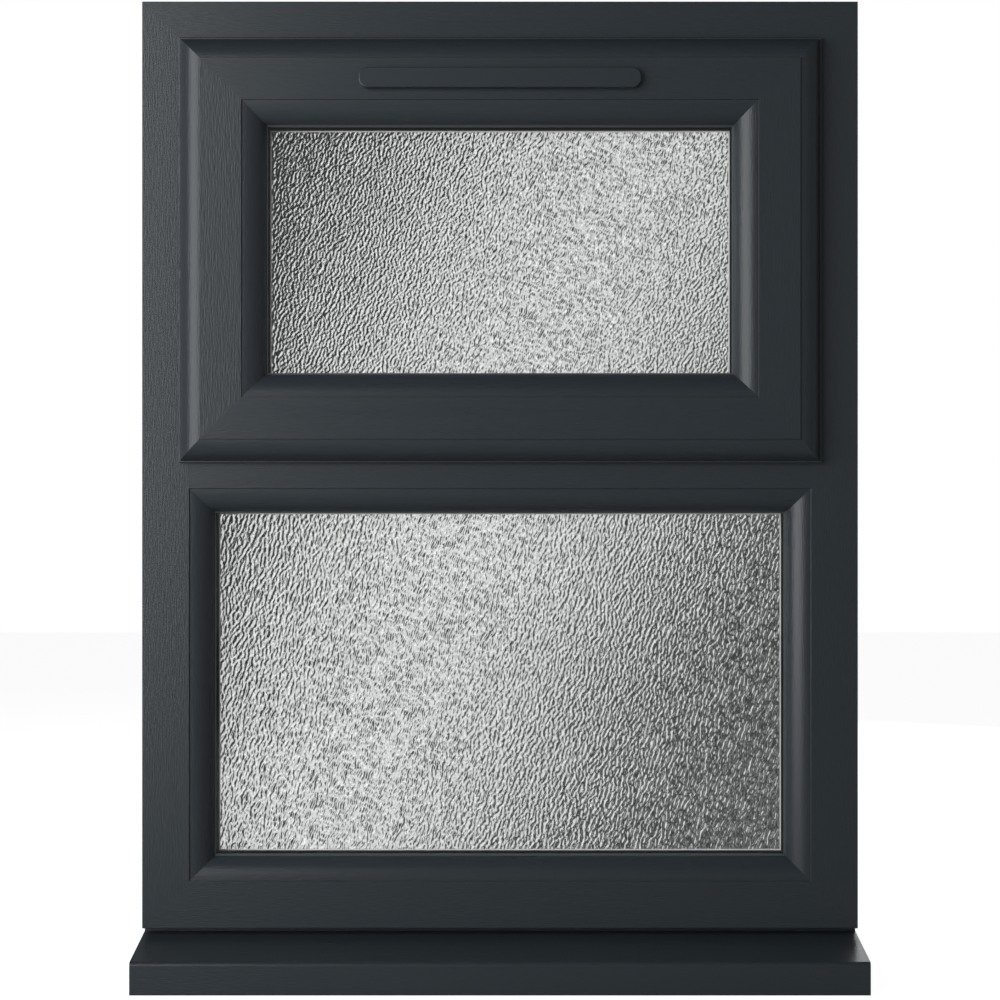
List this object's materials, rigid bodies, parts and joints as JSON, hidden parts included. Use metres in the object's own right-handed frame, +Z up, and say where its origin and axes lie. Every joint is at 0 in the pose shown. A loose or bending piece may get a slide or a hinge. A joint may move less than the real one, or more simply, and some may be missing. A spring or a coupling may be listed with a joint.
{
  "type": "top-hung casement window",
  "caption": "Casement window with a top-hung sash above a fixed light, obscure glazing, moulded glazing beads, a slim vent hood and a projecting cill.",
  "frame": {"origin": "on the cill's underside, midway along it, below the plane of the frame's outside face", "axes": "+X along the window to the right seen from outside, +Y from outside into the room, +Z up"},
  "size_m": [0.695, 0.1625, 0.9485],
  "materials": {
    "anthracite_foil": "satin anthracite grey foil, embossed with a fine wood grain along each member",
    "anthracite_plastic": "satin anthracite grey moulded plastic",
    "clear_glass": "clear float glass",
    "patterned_glass": "obscure rolled glass with a fine stippled relief",
    "black_rubber": "black extruded rubber",
    "grey_rubber": "grey extruded rubber",
    "pale_sealant": "pale grey sealant",
    "black_spacer": "black warm-edge spacer and sealant",
    "satin_metal": "satin metal"
  },
  "bodies": {
    "root": {"frame_head": "anthracite_foil", "frame_bottom_rail": "anthracite_foil", "frame_left_jamb": "anthracite_foil", "frame_right_jamb": "anthracite_foil", "transom": "anthracite_foil", "sash_top_rail": "anthracite_foil", "sash_bottom_rail": "anthracite_foil", "sash_left_stile": "anthracite_foil", "sash_right_stile": "anthracite_foil", "sash_outer_seal": "black_rubber", "sash_inner_seal": "black_rubber", "vent_canopy": "anthracite_plastic", "vent_inside_cover": "anthracite_plastic", "vent_flap": "anthracite_plastic", "handle_rose": "satin_metal", "handle_lever": "satin_metal", "cill": "anthracite_foil", "cill_left_end_cap": "anthracite_foil", "cill_right_end_cap": "anthracite_foil", "lower_bead_top": "anthracite_foil", "lower_bead_bottom": "anthracite_foil", "lower_bead_left": "anthracite_foil", "lower_bead_right": "anthracite_foil", "lower_outside_gasket": "grey_rubber", "lower_inside_gasket": "black_rubber", "lower_spacer": "black_spacer", "lower_edge_seal": "pale_sealant", "lower_outer_pane": "clear_glass", "lower_inner_pane": "patterned_glass", "upper_bead_top": "anthracite_foil", "upper_bead_bottom": "anthracite_foil", "upper_bead_left": "anthracite_foil", "upper_bead_right": "anthracite_foil", "upper_outside_gasket": "grey_rubber", "upper_inside_gasket": "black_rubber", "upper_spacer": "black_spacer", "upper_edge_seal": "pale_sealant", "upper_outer_pane": "clear_glass", "upper_inner_pane": "patterned_glass"}
  },
  "joints": []
}
